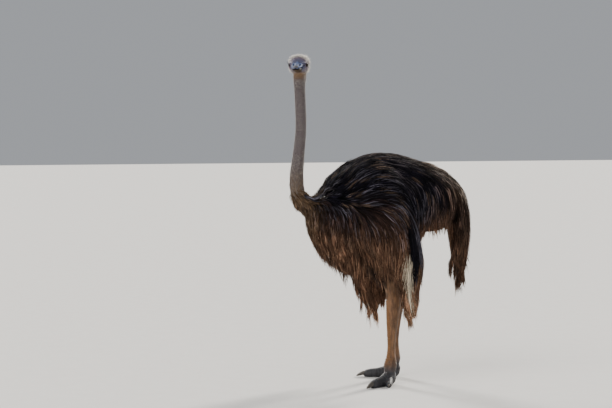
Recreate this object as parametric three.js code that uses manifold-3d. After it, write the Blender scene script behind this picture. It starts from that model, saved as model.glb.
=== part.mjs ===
// A female common ostrich, standing, life size, with its head turned to its left.
// Millimetres, +Z up. The bird faces -Y and its left side is +X. The origin is on the floor,
// under the middle of the bird. Every feathered solid reaches out to the tips of its plumage.
import * as THREE from "three";
import { mergeVertices } from "three/addons/utils/BufferGeometryUtils.js";
import Module from "manifold-3d";

const wasm = await Module();
wasm.setup();

// ---- Driving dimensions ------------------------------------------------------------------

const GAP = 0.3; // between solids that touch
const SMOOTHEST_STEP = 0.05; // steps smaller than this are left out of a finished surface
const FAR = 4000; // farther than any part of the bird
const ORIGIN_SHIFT = new THREE.Vector3(0, 39.4, 0); // brings the middle of the box over the origin
const UP = new THREE.Vector3(0, 0, 1);
const LEFT = new THREE.Vector3(1, 0, 0);
const BACK = new THREE.Vector3(0, 1, 0);

// Trunk, from the breast to the rump: [y, top, bottom, half width]
const TRUNK = [
  [-452, 965, 895, 30],
  [-425, 1012, 810, 88],
  [-370, 1062, 708, 142],
  [-270, 1160, 622, 184],
  [-150, 1240, 584, 204],
  [-20, 1266, 590, 212],
  [90, 1244, 676, 208],
  [200, 1216, 802, 190],
  [300, 1184, 832, 160],
  [372, 1140, 864, 118],
  [412, 1060, 940, 40],
];
const TRUNK_POWER = 2.25; // a little squarer than an ellipse

// Wing, from its top at the back down: [z, front y, rear y, middle x, half thickness]
const WING = [
  [1230, -112, -44, 82, 28],
  [1184, -204, 8, 120, 66],
  [1080, -270, 56, 150, 102],
  [960, -290, 92, 165, 118],
  [845, -268, 118, 175, 114],
  [735, -192, 136, 190, 96],
  [645, -102, 142, 206, 70],
];
// and its hanging lower edge, which the wind and the way each wing is held make different
const WING_HEM = {
  left: [
    [560, 18, 122, 216, 42],
    [470, 56, 104, 222, 20],
  ],
  right: [
    [560, -88, 124, 214, 48],
    [470, -40, 88, 220, 26],
  ],
};
const WING_HEM_X = 212; // how far out the hanging plumes start
const WING_TOE_IN = THREE.MathUtils.degToRad(11); // the front edge lies closer to the body
// The hanging plumes: [root y, root z, tip y, tip z, half width]
const WING_PLUMES = {
  left: [
    [-48, 668, -16, 588, 24],
    [4, 640, 12, 510, 26],
    [44, 590, 38, 350, 22],
    [70, 590, 62, 332, 22],
    [94, 590, 88, 376, 22],
  ],
  right: [
    [-78, 610, -98, 494, 26],
    [-40, 600, -58, 402, 27],
    [0, 590, -18, 350, 27],
    [40, 590, 18, 338, 27],
    [82, 590, 62, 398, 26],
  ],
};

// Tail, down its middle: [y, z, half width, half thickness]
const TAIL = [
  [352, 1106, 92, 44],
  [402, 1020, 112, 56],
  [428, 910, 106, 58],
  [442, 800, 90, 52],
  [444, 712, 68, 40],
  [440, 650, 34, 24],
];
const TAIL_PLUMES = [
  // [root x, root y, tip x, tip y, tip z, half width]
  [-44, 446, -34, 434, 588, 26],
  [0, 452, 6, 428, 532, 30],
  [42, 448, 38, 440, 568, 27],
  [18, 418, 30, 366, 600, 24],
];
const TAIL_PLUME_ROOT_Z = 792;

// Neck, up its middle: [y, z, half width, half depth]
const NECK = [
  [-330, 965, 60, 62],
  [-400, 965, 56, 58],
  [-462, 982, 51, 54],
  [-500, 1040, 45, 48],
  [-510, 1130, 40, 41],
  [-496, 1270, 35, 36],
  [-484, 1400, 33.5, 34],
  [-488, 1540, 33, 34],
  [-492, 1632, 33.5, 35],
  [-492, 1668, 40, 40],
  [-490, 1700, 46, 44],
];
const NECK_CUTS = [1085, 1380]; // heights that part the neck into three lengths
const HEAD_CUT = 1666;

// Head, in its own frame: x forward along the bill, y to its left, z above the eyes' centres
const HEAD_TURN = THREE.MathUtils.degToRad(65.5); // from straight ahead, to the bird's left
const HEAD_PITCH = THREE.MathUtils.degToRad(3); // the bill points a little down
const HEAD_AT = new THREE.Vector3(2, -495, 1741);
// [x, top, bottom, half width]
const SKULL = [
  [-58, 10, -20, 14],
  [-46, 36, -48, 40],
  [-20, 52, -62, 57],
  [8, 58, -60, 61],
  [34, 55, -52, 58],
  [56, 43, -38, 46],
  [76, 25, -35, 35],
  [90, 12, -32, 28],
];
const BILL_TOP = [
  // [x, top, bottom, half width] of the upper bill
  [66, 28, -13, 31],
  [84, 20, -14, 29.5],
  [108, 9, -15, 26.5],
  [130, 3, -17, 23],
  [146, -2, -20, 17.5],
  [156, -9, -24, 9],
];
const BILL_LOW = [
  // the lower bill, shorter and thinner
  [60, -6, -38, 28],
  [90, -6, -35, 27.5],
  [120, -8, -31, 24.5],
  [138, -13, -29, 19],
  [147, -17, -27, 11],
];
const BILL_SOCKET_X = 78; // the horn starts here, and the face closes round it behind
const EYE = { x: 36, y: 32, z: 0, radius: 22 };
const EYE_HOLLOW = { x: 39, y: 73, z: -1, radius: 26 }; // the bare hollow in the down round each eye

// Legs: the left one, and how far back the right one stands
const LEG_X = 130;
const LEG_BACK = { left: 0, right: 118 };
// [x, y, z, half width, half depth] from inside the foot up the shank
const SHANK = [
  [0, -20, 40, 26, 26],
  [0, -16, 80, 32, 34],
  [0, -12, 110, 33, 38],
  [0, -9, 148, 24, 28],
  [0, -8, 200, 19, 22.5],
  [0, -6, 275, 20, 27],
  [0, -2, 345, 24, 35],
  [0, 2, 405, 30, 41],
  [0, 5, 470, 37, 45],
  [0, 2, 520, 36, 44],
];
// the drumstick, from the hock forward and up into the body
const THIGH = [
  [0, 4, 485, 34, 43],
  [0, 0, 525, 38, 46],
  [2, -16, 590, 50, 62],
  [6, -46, 670, 68, 92],
  [8, -80, 750, 80, 110],
  [6, -110, 830, 70, 98],
];
const HIP_SHARE = 0.75; // how much of a foot's step back its hip takes
const THIGH_LEAN = [1, 0.88, 0.4, 0, 0, 0]; // and how the rest fades up the drumstick
const HOCK_CUT = 514;
const ANKLE_CUT = 124;

// Feet, in their own frame: x forward along the big toe, y outwards, z above the floor
const TOES_OUT = { left: THREE.MathUtils.degToRad(34), right: THREE.MathUtils.degToRad(17) };
const SMALL_TOE_OUT = THREE.MathUtils.degToRad(33); // from the big toe
const FOOT_JOINT_Y = -16;
// [x, z, half width, half height]; the pads reach below the floor, and are cut flat there
const BIG_TOE = [
  [-36, 36, 16, 20],
  [-24, 38, 28, 38],
  [0, 41, 34, 45],
  [36, 32, 32, 36],
  [76, 24, 30, 28],
  [118, 22, 29.5, 26],
  [150, 19, 26, 23],
  [169, 16, 17, 16],
];
const SMALL_TOE = [
  [-6, 34, 20, 34],
  [30, 25, 20, 28],
  [66, 18, 18, 21.5],
  [100, 15.5, 17, 19],
  [118, 13, 11, 13],
];
const BIG_CLAW = [
  // [x, z, half width, half height]
  [146, 24, 15, 10],
  [164, 23, 16, 12],
  [182, 18, 14, 11],
  [199, 11, 10, 8],
  [211, 6, 4, 3],
];
const SMALL_CLAW = [
  [106, 20, 6, 5],
  [117, 18, 6.5, 5.5],
  [129, 12, 4.5, 4],
  [136, 7, 2, 2],
];

// Finishes
const FINISH = {
  plumage: new THREE.MeshStandardMaterial({ color: 0x3b2f29, roughness: 0.85 }),
  down: new THREE.MeshStandardMaterial({ color: 0x8f8076, roughness: 0.85 }),
  skin: new THREE.MeshStandardMaterial({ color: 0x9a7c68, roughness: 0.7 }),
  horn: new THREE.MeshStandardMaterial({ color: 0x6d645c, roughness: 0.45 }),
  eye: new THREE.MeshStandardMaterial({ color: 0x1c130d, roughness: 0.08 }),
};

// ---- Shape helpers -----------------------------------------------------------------------

// A smooth function through rows of [t, value, value, ...]; it never overshoots between two rows.
function through(rows) {
  return (t) => {
    const last = rows.length - 1;
    let i = 0;
    while (i < last - 1 && (rows[i + 1][0] - t) * (rows[last][0] - rows[0][0]) < 0) i++;
    const [before, from] = [rows[Math.max(i - 1, 0)], rows[i]];
    const [to, after] = [rows[i + 1], rows[Math.min(i + 2, last)]];
    const span = to[0] - from[0];
    const s = THREE.MathUtils.clamp((t - from[0]) / span, 0, 1);
    return from.slice(1).map((value, k) => {
      const c = k + 1;
      const slope = (a, b) => (b[c] - a[c]) / (b[0] - a[0] || 1);
      const chord = slope(from, to);
      const most = 3 * Math.abs(chord); // a steeper slope than this would overshoot
      const limited = (other) => {
        if (other * chord <= 0) return 0;
        return Math.sign(chord) * Math.min(Math.abs(other), most);
      };
      const m0 = i > 0 ? limited(slope(before, to)) : chord;
      const m1 = i < last - 1 ? limited(slope(from, after)) : chord;
      const s2 = s * s;
      const s3 = s2 * s;
      return (
        (2 * s3 - 3 * s2 + 1) * value +
        (s3 - 2 * s2 + s) * span * m0 +
        (3 * s2 - 2 * s3) * to[c] +
        (s3 - s2) * span * m1
      );
    });
  };
}

// A closed solid through rings. ringAt(t), t from 0 to 1, gives a ring's centre and its two half axes;
// the ends close on a point in the middle of the first and last ring.
function loft(ringAt, rings, sides, power = 2) {
  const points = [];
  const faces = [];
  for (let k = 0; k <= rings; k++) {
    const { centre, a, b } = ringAt(k / rings);
    for (let j = 0; j < sides; j++) {
      const angle = (2 * Math.PI * j) / sides;
      const swell = (v) => Math.sign(v) * Math.abs(v) ** (2 / power);
      const p = centre.clone().addScaledVector(a, swell(Math.cos(angle)));
      points.push(p.addScaledVector(b, swell(Math.sin(angle))));
    }
  }
  for (let k = 0; k < rings; k++) {
    for (let j = 0; j < sides; j++) {
      const [p, q] = [k * sides + j, k * sides + ((j + 1) % sides)];
      faces.push(p, q, q + sides, p, q + sides, p + sides);
    }
  }
  for (const [k, t] of [[0, 0], [rings, 1]]) {
    const middle = points.length;
    points.push(ringAt(t).centre.clone());
    for (let j = 0; j < sides; j++) {
      const [p, q] = [k * sides + j, k * sides + ((j + 1) % sides)];
      faces.push(middle, ...(k === 0 ? [q, p] : [p, q]));
    }
  }
  const geometry = new THREE.BufferGeometry().setFromPoints(points);
  geometry.setIndex(faces);
  return solid(geometry);
}

// A manifold solid of a closed geometry, turned right side out.
function solid(geometry) {
  const bare = new THREE.BufferGeometry().setAttribute("position", geometry.getAttribute("position"));
  bare.setIndex(geometry.index);
  const merged = mergeVertices(bare, 1e-3);
  const vertProperties = merged.attributes.position.array;
  const triVerts = new Uint32Array(merged.index.array);
  const build = () => new wasm.Manifold(new wasm.Mesh({ numProp: 3, vertProperties, triVerts }));
  const first = build();
  if (first.volume() > 0) return first;
  for (let i = 0; i < triVerts.length; i += 3) {
    [triVerts[i + 1], triVerts[i + 2]] = [triVerts[i + 2], triVerts[i + 1]];
  }
  return build();
}

// A limb along a curve: rows of [x, y, z, half width, half depth]. side is the way its width runs.
// grow makes it thicker, for cutting its neighbours.
function limb(rows, { side = LEFT, rings = 12, sides = 16, grow = 0, power = 2 } = {}) {
  const points = rows.map(([x, y, z]) => new THREE.Vector3(x, y, z));
  const curve = new THREE.CatmullRomCurve3(points, false, "centripetal");
  const last = rows.length - 1;
  const sizes = through(rows.map((row, i) => [i / last, row[3], row[4]]));
  return loft(
    (t) => {
      const along = curve.getTangent(t);
      const a = side.clone().addScaledVector(along, -side.dot(along)).normalize();
      const b = new THREE.Vector3().crossVectors(along, a);
      const [width, depth] = sizes(t);
      const centre = curve.getPoint(t).addScaledVector(along, (2 * t - 1) * grow);
      return { centre, a: a.multiplyScalar(width + grow), b: b.multiplyScalar(depth + grow) };
    },
    rings,
    sides,
    power,
  );
}

// A body through upright sections: rows of [place along forward, top, bottom, half width].
function hull(rows, { forward = BACK, side = LEFT, rings = 14, sides = 20, grow = 0, power = 2 } = {}) {
  const at = through(rows);
  const [start, end] = [rows[0][0], rows[rows.length - 1][0]];
  return loft(
    (t) => {
      const place = THREE.MathUtils.lerp(start, end, (1 - Math.cos(Math.PI * t)) / 2);
      const [top, bottom, width] = at(place);
      const centre = forward.clone().multiplyScalar(place + Math.sign(end - start) * (2 * t - 1) * grow);
      centre.z += (top + bottom) / 2;
      return {
        centre,
        a: side.clone().multiplyScalar(width + grow),
        b: UP.clone().multiplyScalar((top - bottom) / 2 + grow),
      };
    },
    rings,
    sides,
    power,
  );
}

// A hanging plume: flat, widest near its middle, and pointed.
function plume(root, tip, halfWidth, { flatness = 0.6, bulge = 18, side = LEFT } = {}) {
  const middle = root.clone().lerp(tip, 0.55).addScaledVector(BACK, bulge);
  const curve = new THREE.QuadraticBezierCurve3(root, middle, tip);
  const taper = through([[0, 0.75], [0.45, 1], [0.8, 0.62], [1, 0.1]]);
  return loft(
    (t) => {
      const along = curve.getTangent(t);
      const a = side.clone().addScaledVector(along, -side.dot(along)).normalize();
      const b = new THREE.Vector3().crossVectors(along, a);
      const width = halfWidth * taper(t)[0];
      b.multiplyScalar(width * flatness);
      return { centre: curve.getPoint(t), a: a.multiplyScalar(width), b };
    },
    4,
    8,
  );
}

const union = (...solids) => solids.reduce((whole, next) => whole.add(next));
const less = (whole, ...cutters) => cutters.reduce((left, cutter) => left.subtract(cutter), whole);

// The slab of a solid between two heights, a gap short of each.
function between(whole, low, high) {
  const box = new THREE.BoxGeometry(FAR, FAR, high - low - GAP);
  box.translate(0, 0, (low + high) / 2);
  return whole.intersect(solid(box));
}

// The largest piece, which leaves out the crumbs that a cut can make.
function largest(whole) {
  return whole.decompose().reduce((best, next) => (next.volume() > best.volume() ? next : best));
}

// ---- The parts of the bird ---------------------------------------------------------------

const group = new THREE.Group();

function add(name, whole, material) {
  const made = largest(whole).simplify(SMOOTHEST_STEP).getMesh();
  const positions = new THREE.BufferAttribute(made.vertProperties, made.numProp);
  const geometry = new THREE.BufferGeometry().setAttribute("position", positions);
  geometry.setIndex(new THREE.BufferAttribute(made.triVerts, 1));
  geometry.computeVertexNormals();
  const mesh = new THREE.Mesh(geometry, material);
  mesh.name = name;
  group.add(mesh);
}

// -- legs: one solid from the toes to the thigh, parted at the ankle and the hock
// The hips are level with each other, so a leg that stands back leans forward through its drumstick.
function thigh(sign, back, grow) {
  const rows = THIGH.map(([x, y, z, ...sizes], i) => {
    const lean = HIP_SHARE + (1 - HIP_SHARE) * THIGH_LEAN[i];
    return [sign * (LEG_X + x), y + back * lean, z, ...sizes];
  });
  return limb(rows, { rings: 8, sides: 12, grow });
}

function shank(sign, back) {
  const rows = SHANK.map(([x, y, ...rest]) => [sign * (LEG_X + x), y + back, ...rest]);
  return limb(rows, { rings: 13, sides: 12 });
}

// A toe or claw in the foot's frame, turned outwards by turn and set down at the foot's joint.
function toe(rows, turn, sign, back, { sides = 10, grow = 0 } = {}) {
  const forward = new THREE.Vector3(sign * Math.sin(turn), -Math.cos(turn), 0);
  const joint = new THREE.Vector3(sign * LEG_X, back + FOOT_JOINT_Y, 0);
  const side = new THREE.Vector3().crossVectors(UP, forward);
  const placed = rows.map(([x, z, width, height]) => {
    const p = joint.clone().addScaledVector(forward, x);
    return [p.x, p.y, z, width, height];
  });
  return limb(placed, { side, rings: rows.length, sides, grow, power: 2.4 });
}

function leg(name, sign) {
  const back = LEG_BACK[name];
  const bigTurn = TOES_OUT[name];
  const smallTurn = bigTurn + SMALL_TOE_OUT;
  const bigClaw = (grow) => toe(BIG_CLAW, bigTurn, sign, back, { sides: 8, grow });
  const smallClaw = (grow) => toe(SMALL_CLAW, smallTurn, sign, back, { sides: 8, grow });
  const pads = union(toe(BIG_TOE, bigTurn, sign, back), toe(SMALL_TOE, smallTurn, sign, back));
  const whole = union(pads, shank(sign, back), thigh(sign, back, 0));
  const bare = less(whole, bigClaw(GAP), smallClaw(GAP));
  add(`foot_${name}`, between(bare, -GAP / 2, ANKLE_CUT), FINISH.skin);
  add(`shank_${name}`, between(bare, ANKLE_CUT, HOCK_CUT), FINISH.skin);
  add(`thigh_${name}`, between(bare, HOCK_CUT, FAR), FINISH.skin);
  add(`claw_big_${name}`, bigClaw(0), FINISH.horn);
  add(`claw_small_${name}`, smallClaw(0), FINISH.horn);
}
leg("left", 1);
leg("right", -1);

// -- neck and head
const neckRows = NECK.map(([y, z, width, depth]) => [0, y, z, width, depth]);
const neck = (grow = 0) => limb(neckRows, { rings: 19, sides: 13, grow });

const headForward = new THREE.Vector3(Math.sin(HEAD_TURN), -Math.cos(HEAD_TURN), 0);
const headFrame = new THREE.Matrix4()
  .makeBasis(headForward, new THREE.Vector3().crossVectors(UP, headForward), UP)
  .multiply(new THREE.Matrix4().makeRotationY(HEAD_PITCH))
  .setPosition(HEAD_AT);
const inHead = (shape) => shape.transform(headFrame.elements);
const along = new THREE.Vector3(1, 0, 0);
const across = new THREE.Vector3(0, 1, 0);
const headHull = (rows, options) => inHead(hull(rows, { forward: along, side: across, ...options }));

const skull = headHull(SKULL, { rings: 11, sides: 16, power: 2.2 });
const billPart = (rows, grow = 0) => headHull(rows, { rings: 7, sides: 14, power: 2.3, grow });
function headBall({ x, y, z, radius }, sign, grow = 0) {
  const ball = new THREE.SphereGeometry(radius + grow, 12, 9);
  ball.rotateX(Math.PI / 2);
  ball.translate(x, sign * y, z);
  return inHead(solid(ball));
}
const eye = (sign, grow) => headBall(EYE, sign, grow);
const hollow = (sign) => headBall(EYE_HOLLOW, sign);

// the horn of the bill starts where the face stops
function headBlock(from, to) {
  const box = new THREE.BoxGeometry(to - from, FAR, FAR);
  box.translate((from + to) / 2, 0, 0);
  return inHead(solid(box));
}
const faceBlock = headBlock(-FAR, BILL_SOCKET_X);
const upperBill = less(billPart(BILL_TOP), faceBlock);
const lowerBill = less(billPart(BILL_LOW), faceBlock, billPart(BILL_TOP, GAP));
const eyeRoom = [hollow(1), hollow(-1), eye(1, GAP), eye(-1, GAP)];
const headWhole = less(union(skull, neck()), headBlock(BILL_SOCKET_X - GAP, FAR), ...eyeRoom);

add("head", between(headWhole, HEAD_CUT, FAR), FINISH.down);
add("bill_upper", upperBill, FINISH.horn);
add("bill_lower", lowerBill, FINISH.horn);
add("eye_left", eye(1), FINISH.eye);
add("eye_right", eye(-1), FINISH.eye);
add("neck_upper", between(headWhole, NECK_CUTS[1], HEAD_CUT), FINISH.down);
add("neck_middle", between(headWhole, NECK_CUTS[0], NECK_CUTS[1]), FINISH.down);
add("neck_lower", between(headWhole, -FAR, NECK_CUTS[0]), FINISH.down);

// -- trunk, tail and wings
const body = (grow = 0) => hull(TRUNK, { rings: 15, sides: 22, grow, power: TRUNK_POWER });
const legsGrown = [thigh(1, LEG_BACK.left, GAP), thigh(-1, LEG_BACK.right, GAP)];
const neckGrown = neck(GAP);
add("trunk", less(body(), neckGrown, ...legsGrown), FINISH.plumage);

function tail() {
  const spine = TAIL.map(([y, z, width, thick]) => [0, y, z, width, thick]);
  const plumes = TAIL_PLUMES.map(([rootX, rootY, tipX, tipY, tipZ, width]) => {
    const root = new THREE.Vector3(rootX, rootY, TAIL_PLUME_ROOT_Z);
    return plume(root, new THREE.Vector3(tipX, tipY, tipZ), width);
  });
  return union(limb(spine, { rings: 9, sides: 14 }), ...plumes);
}
const bodyGrown = body(GAP);
add("tail", less(tail(), bodyGrown), FINISH.plumage);

// A wing through level sections, long from front to back and thin across.
function wing(name, sign) {
  const rows = [...WING, ...WING_HEM[name]];
  const at = through(rows);
  const [start, end] = [rows[0][0], rows[rows.length - 1][0]];
  const a = new THREE.Vector3(sign * Math.sin(WING_TOE_IN), Math.cos(WING_TOE_IN), 0);
  const b = new THREE.Vector3(Math.cos(WING_TOE_IN), -sign * Math.sin(WING_TOE_IN), 0);
  const blade = loft(
    (t) => {
      const z = THREE.MathUtils.lerp(start, end, (1 - Math.cos(Math.PI * t)) / 2);
      const [front, rear, x, thick] = at(z);
      return {
        centre: new THREE.Vector3(sign * x, (front + rear) / 2, z),
        a: a.clone().multiplyScalar((rear - front) / 2),
        b: b.clone().multiplyScalar(thick),
      };
    },
    12,
    16,
    2.2,
  );
  const plumes = WING_PLUMES[name].map(([rootY, rootZ, tipY, tipZ, width]) => {
    const root = new THREE.Vector3(sign * WING_HEM_X, rootY, rootZ);
    const tip = new THREE.Vector3(sign * (WING_HEM_X + 10), tipY, tipZ);
    return plume(root, tip, width, { side: BACK, flatness: 0.75, bulge: 6 });
  });
  return union(blade, ...plumes);
}

for (const [name, sign] of [["left", 1], ["right", -1]]) {
  const cutters = [bodyGrown, neckGrown, ...legsGrown];
  add(`wing_${name}`, less(wing(name, sign), ...cutters), FINISH.plumage);
}

group.position.copy(ORIGIN_SHIFT);

export default group;
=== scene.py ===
# %% [markdown]
# # A standing ostrich
# A female ostrich stands with her neck upright and her head turned to her left. Long loose plumes hide
# her body and thin down her neck, and her legs are bare and scaly. The work follows the real animal:
# first the skin, then eyes, bill and claws, then plumes and down over it.

import math

import bmesh
import bpy
import numpy as np
from mathutils import Matrix, Vector
from mathutils.bvhtree import BVHTree
from mathutils.kdtree import KDTree


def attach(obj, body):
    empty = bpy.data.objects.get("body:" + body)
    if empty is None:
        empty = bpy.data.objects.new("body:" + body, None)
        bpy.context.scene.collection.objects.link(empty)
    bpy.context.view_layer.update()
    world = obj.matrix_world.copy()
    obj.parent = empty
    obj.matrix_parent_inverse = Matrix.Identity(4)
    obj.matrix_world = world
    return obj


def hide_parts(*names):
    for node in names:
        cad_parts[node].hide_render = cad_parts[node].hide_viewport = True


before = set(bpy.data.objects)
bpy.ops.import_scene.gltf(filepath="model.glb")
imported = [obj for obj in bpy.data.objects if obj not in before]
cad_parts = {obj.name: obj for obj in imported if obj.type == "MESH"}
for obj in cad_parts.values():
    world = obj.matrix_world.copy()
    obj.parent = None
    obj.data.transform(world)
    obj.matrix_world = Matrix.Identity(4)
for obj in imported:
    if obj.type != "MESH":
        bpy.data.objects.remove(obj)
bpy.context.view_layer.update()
chance = np.random.default_rng(11)
print("the frame's nodes:", len(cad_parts))

# %% [markdown]
# ## Camera, floor and light
# A tall bird looks right from the height of a standing person's eye, and a long lens keeps her legs and
# head in proportion. The floor is one large pale sheet, with one big soft lamp in front and two behind
# that draw a glowing edge along both sides of the down.


# %% Place the camera
def placed(name, data):
    """A new object in the scene."""
    made = bpy.data.objects.new(name, data)
    bpy.context.collection.objects.link(made)
    return made


UP = Vector((0, 0, 1))
ROUND_TO_LEFT = math.radians(70)  # how far round to the bird's left the camera stands
EYE_HEIGHT, DISTANCE = 1.48, 9.36
LENS_DOTS, ASIDE_DOTS, HORIZON_DOTS = 1700, 79, 90.5  # measured in dots of the picture
TURN_ASIDE, LOOK_DOWN = math.atan2(ASIDE_DOTS, LENS_DOTS), math.atan2(HORIZON_DOTS, LENS_DOTS)
STAND = Vector((0, 0.0394, 0))  # the spot on the floor that the camera is measured from

away = Vector((math.sin(ROUND_TO_LEFT), -math.cos(ROUND_TO_LEFT), 0))
to_right = Vector((math.cos(ROUND_TO_LEFT), math.sin(ROUND_TO_LEFT), 0))
look = -math.cos(TURN_ASIDE) * away - math.sin(TURN_ASIDE) * to_right
look = math.cos(LOOK_DOWN) * look - math.sin(LOOK_DOWN) * UP

camera = placed("camera", bpy.data.cameras.new("camera"))
camera.location = STAND + DISTANCE / math.cos(TURN_ASIDE) * away + EYE_HEIGHT * UP
camera.rotation_euler = look.to_track_quat("-Z", "Y").to_euler()
camera.data.lens, camera.data.sensor_width = 100, 36
bpy.context.scene.camera = camera
print("camera at", [round(c, 2) for c in camera.location])


# %% Hang the lamps
def far_lamp(name, place, spread, strength, colour):
    """Even light from a very large, far lamp, with soft shadows when its spread is wide."""
    light = bpy.data.lights.new(name, "SUN")
    light.angle, light.energy, light.color = math.radians(spread), strength, colour
    placed(name, light).rotation_euler = (-Vector(place)).to_track_quat("-Z", "Y").to_euler()


far_lamp("front lamp", away - to_right * 0.75 + UP * 1.15, 40, 1.7, (1.0, 0.97, 0.93))
far_lamp("edge lamp", -away * 0.9 + to_right * 0.6 + UP * 0.5, 10, 5.4, (1.0, 0.95, 0.87))
far_lamp("far edge lamp", -away * 0.9 - to_right * 0.6 + UP * 0.5, 14, 3.4, (1.0, 0.96, 0.90))

world = bpy.data.worlds.new("studio")
bpy.context.scene.world = world
world.use_nodes = True
sky = world.node_tree.nodes["Background"].inputs
sky["Color"].default_value, sky["Strength"].default_value = (0.82, 0.85, 0.90, 1), 0.45
print("lamps:", len(bpy.data.lights))

# %% [markdown]
# ## Writing node trees as sums
# A finish is a graph of nodes, and so is a shape made by Geometry Nodes. Three small classes make both
# read like arithmetic: a `Wire` is a node's output and knows plus and times, a `Tree` adds nodes to
# itself, and a `Finish` is a material that knows the patterns used here.


# %% Helpers for node trees
class Wire:
    """The output of a node in a tree."""

    def __init__(self, tree, socket):
        self.tree, self.socket = tree, socket

    def __add__(self, other):
        return self.tree.node("ShaderNodeMath", {"operation": "ADD"}, {0: self, 1: other})

    def __mul__(self, other):
        return self.tree.node("ShaderNodeMath", {"operation": "MULTIPLY"}, {0: self, 1: other})

    __radd__, __rmul__ = __add__, __mul__

    def band(self, low, high):
        """0 under low, 1 over high, and a soft step between."""
        inputs = {"Value": self, "From Min": low, "From Max": high}
        return self.tree.node("ShaderNodeMapRange", {"interpolation_type": "SMOOTHSTEP"}, inputs)


class Tree:
    """A node tree that adds nodes to itself."""

    def __init__(self, tree):
        self.tree = tree

    def node(self, kind, settings=None, inputs=None, output=0):
        """Adds a node: its settings first, then the values or wires of its sockets."""
        made = self.tree.nodes.new(kind)
        for key, value in (settings or {}).items():
            setattr(made, key, value)
        for key, value in (inputs or {}).items():
            self.join(made.inputs[key], value)
        return Wire(self, made.outputs[output]) if made.outputs else made

    def join(self, socket, value):
        if isinstance(value, Wire):
            self.tree.links.new(value.socket, socket)
        else:
            socket.default_value = value


class Finish(Tree):
    """A material with one shader, whose constant values are set on the shader's own sockets."""

    def __init__(self, name, **constants):
        self.material = bpy.data.materials.new(name)
        self.material.use_nodes = True
        super().__init__(self.material.node_tree)
        self.feed(**constants)

    def feed(self, **values):
        """Sets the shader's sockets, or leads wires into them."""
        for socket, value in values.items():
            self.join(self.tree.nodes["Principled BSDF"].inputs[socket.replace("_", " ")], value)
        return self

    def stored(self, name, output="Fac"):
        """A number that is stored on the mesh, or with another output a colour or a direction."""
        return self.node("ShaderNodeAttribute", {"attribute_name": name}, output=output)

    def tint(self):
        return self.stored("tint", "Color")

    def place(self):
        return self.node("ShaderNodeTexCoord", output="Object")

    def stretched(self, scale):
        """Object coordinates with their own scale for each axis."""
        return self.node("ShaderNodeMapping", None, {"Vector": self.place(), "Scale": scale})

    def speckle(self, scale, detail=3, at=None):
        inputs = {"Vector": at or self.place(), "Scale": scale, "Detail": detail, "Roughness": 0.55}
        return self.node("ShaderNodeTexNoise", None, inputs, "Fac")

    def seams(self, scale):
        """How far places are from the seams between cells."""
        inputs = {"Vector": self.place(), "Scale": scale}
        return self.node("ShaderNodeTexVoronoi", {"feature": "DISTANCE_TO_EDGE"}, inputs, "Distance")

    def mix(self, share, first, second, blend="MIX"):
        first, second = (c if isinstance(c, Wire) else (*c, 1) for c in (first, second))
        settings = {"data_type": "RGBA", "blend_type": blend}
        return self.node("ShaderNodeMix", settings, {0: share, 6: first, 7: second}, 2)

    def shade(self, colour, amount):
        """The colour made darker or lighter, where amount 1 leaves it alone."""
        grey = self.node("ShaderNodeCombineColor", None, {0: amount, 1: amount, 2: amount})
        return self.mix(1.0, colour, grey, "MULTIPLY")

    def surface(self, colour, grain, rough, relief, strength, depth):
        """Leads in the colour, a roughness that varies with a grain, and a relief of bumps."""
        inputs = {"Height": relief, "Strength": strength, "Distance": depth}
        bumps = self.node("ShaderNodeBump", None, inputs, "Normal")
        self.feed(Base_Color=colour, Roughness=grain * rough[0] + rough[1], Normal=bumps)


print("helpers ready")

# %% [markdown]
# ## Meshes from arrays
# Feathers are many and small, so their corners are worked out as arrays and become a mesh in one go.
# Each finished piece is then tied to the bird's one body, and the solids that it stands for are hidden.

# %% Helpers for pieces
SIDES = ((1, "left"), (-1, "right"))
FLESH = ["head", "neck_upper", "neck_middle", "neck_lower", "trunk", "wing_left", "wing_right", "tail"]
FLESH += [part + side for part in ("thigh", "shank", "foot") for side in ("_left", "_right")]


def finished(obj, finish):
    """Gives a mesh its one finish."""
    obj.data.materials.clear()
    obj.data.materials.append(finish.material)
    obj.data.shade_smooth()
    return obj


def mesh_of(name, points, triangles, finish):
    """An object from corner points and triangles, both as arrays."""
    mesh = bpy.data.meshes.new(name)
    mesh.vertices.add(len(points))
    mesh.vertices.foreach_set("co", np.asarray(points, np.float32).ravel())
    mesh.loops.add(triangles.size)
    mesh.loops.foreach_set("vertex_index", triangles.astype(np.int32).ravel())
    mesh.polygons.add(len(triangles))
    mesh.polygons.foreach_set("loop_start", np.arange(0, triangles.size, 3, dtype=np.int32))
    mesh.update(calc_edges=True)
    return finished(placed(name, mesh), finish)


def points_of(obj, key="co"):
    """The corner points of a mesh, or with the key normal which way the mesh faces there."""
    vectors = np.empty(len(obj.data.vertices) * 3, np.float32)
    obj.data.vertices.foreach_get(key, vectors)
    return vectors.reshape(-1, 3).astype(float)


def set_points(obj, points):
    obj.data.vertices.foreach_set("co", np.asarray(points, np.float32).ravel())
    obj.data.update()


def store(obj, name, values, kind="FLOAT_COLOR"):
    """Keeps a number, a colour or a direction for each corner point."""
    values = np.asarray(values, np.float32)
    if values.ndim == 1:
        kind = "FLOAT"
    elif kind == "FLOAT_COLOR":
        values = np.insert(values, 3, 1, axis=1)
    key = {"FLOAT": "value", "FLOAT_COLOR": "color", "FLOAT_VECTOR": "vector"}[kind]
    obj.data.attributes.new(name, kind, "POINT").data.foreach_set(key, values.ravel())


def piece(obj, slot, *nodes):
    """Ties a finished piece to the bird's body and hides the solids that it stands for."""
    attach(obj, "root")
    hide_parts(*nodes)
    obj.data.calc_loop_triangles()
    print(obj.name, len(obj.data.loop_triangles), "triangles")


def soft(value, low, high):
    """0 under low, 1 over high, and a soft step between, for numbers and arrays."""
    t = np.clip((np.asarray(value, float) - low) / (high - low), 0, 1)
    return t * t * (3 - 2 * t)


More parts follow.
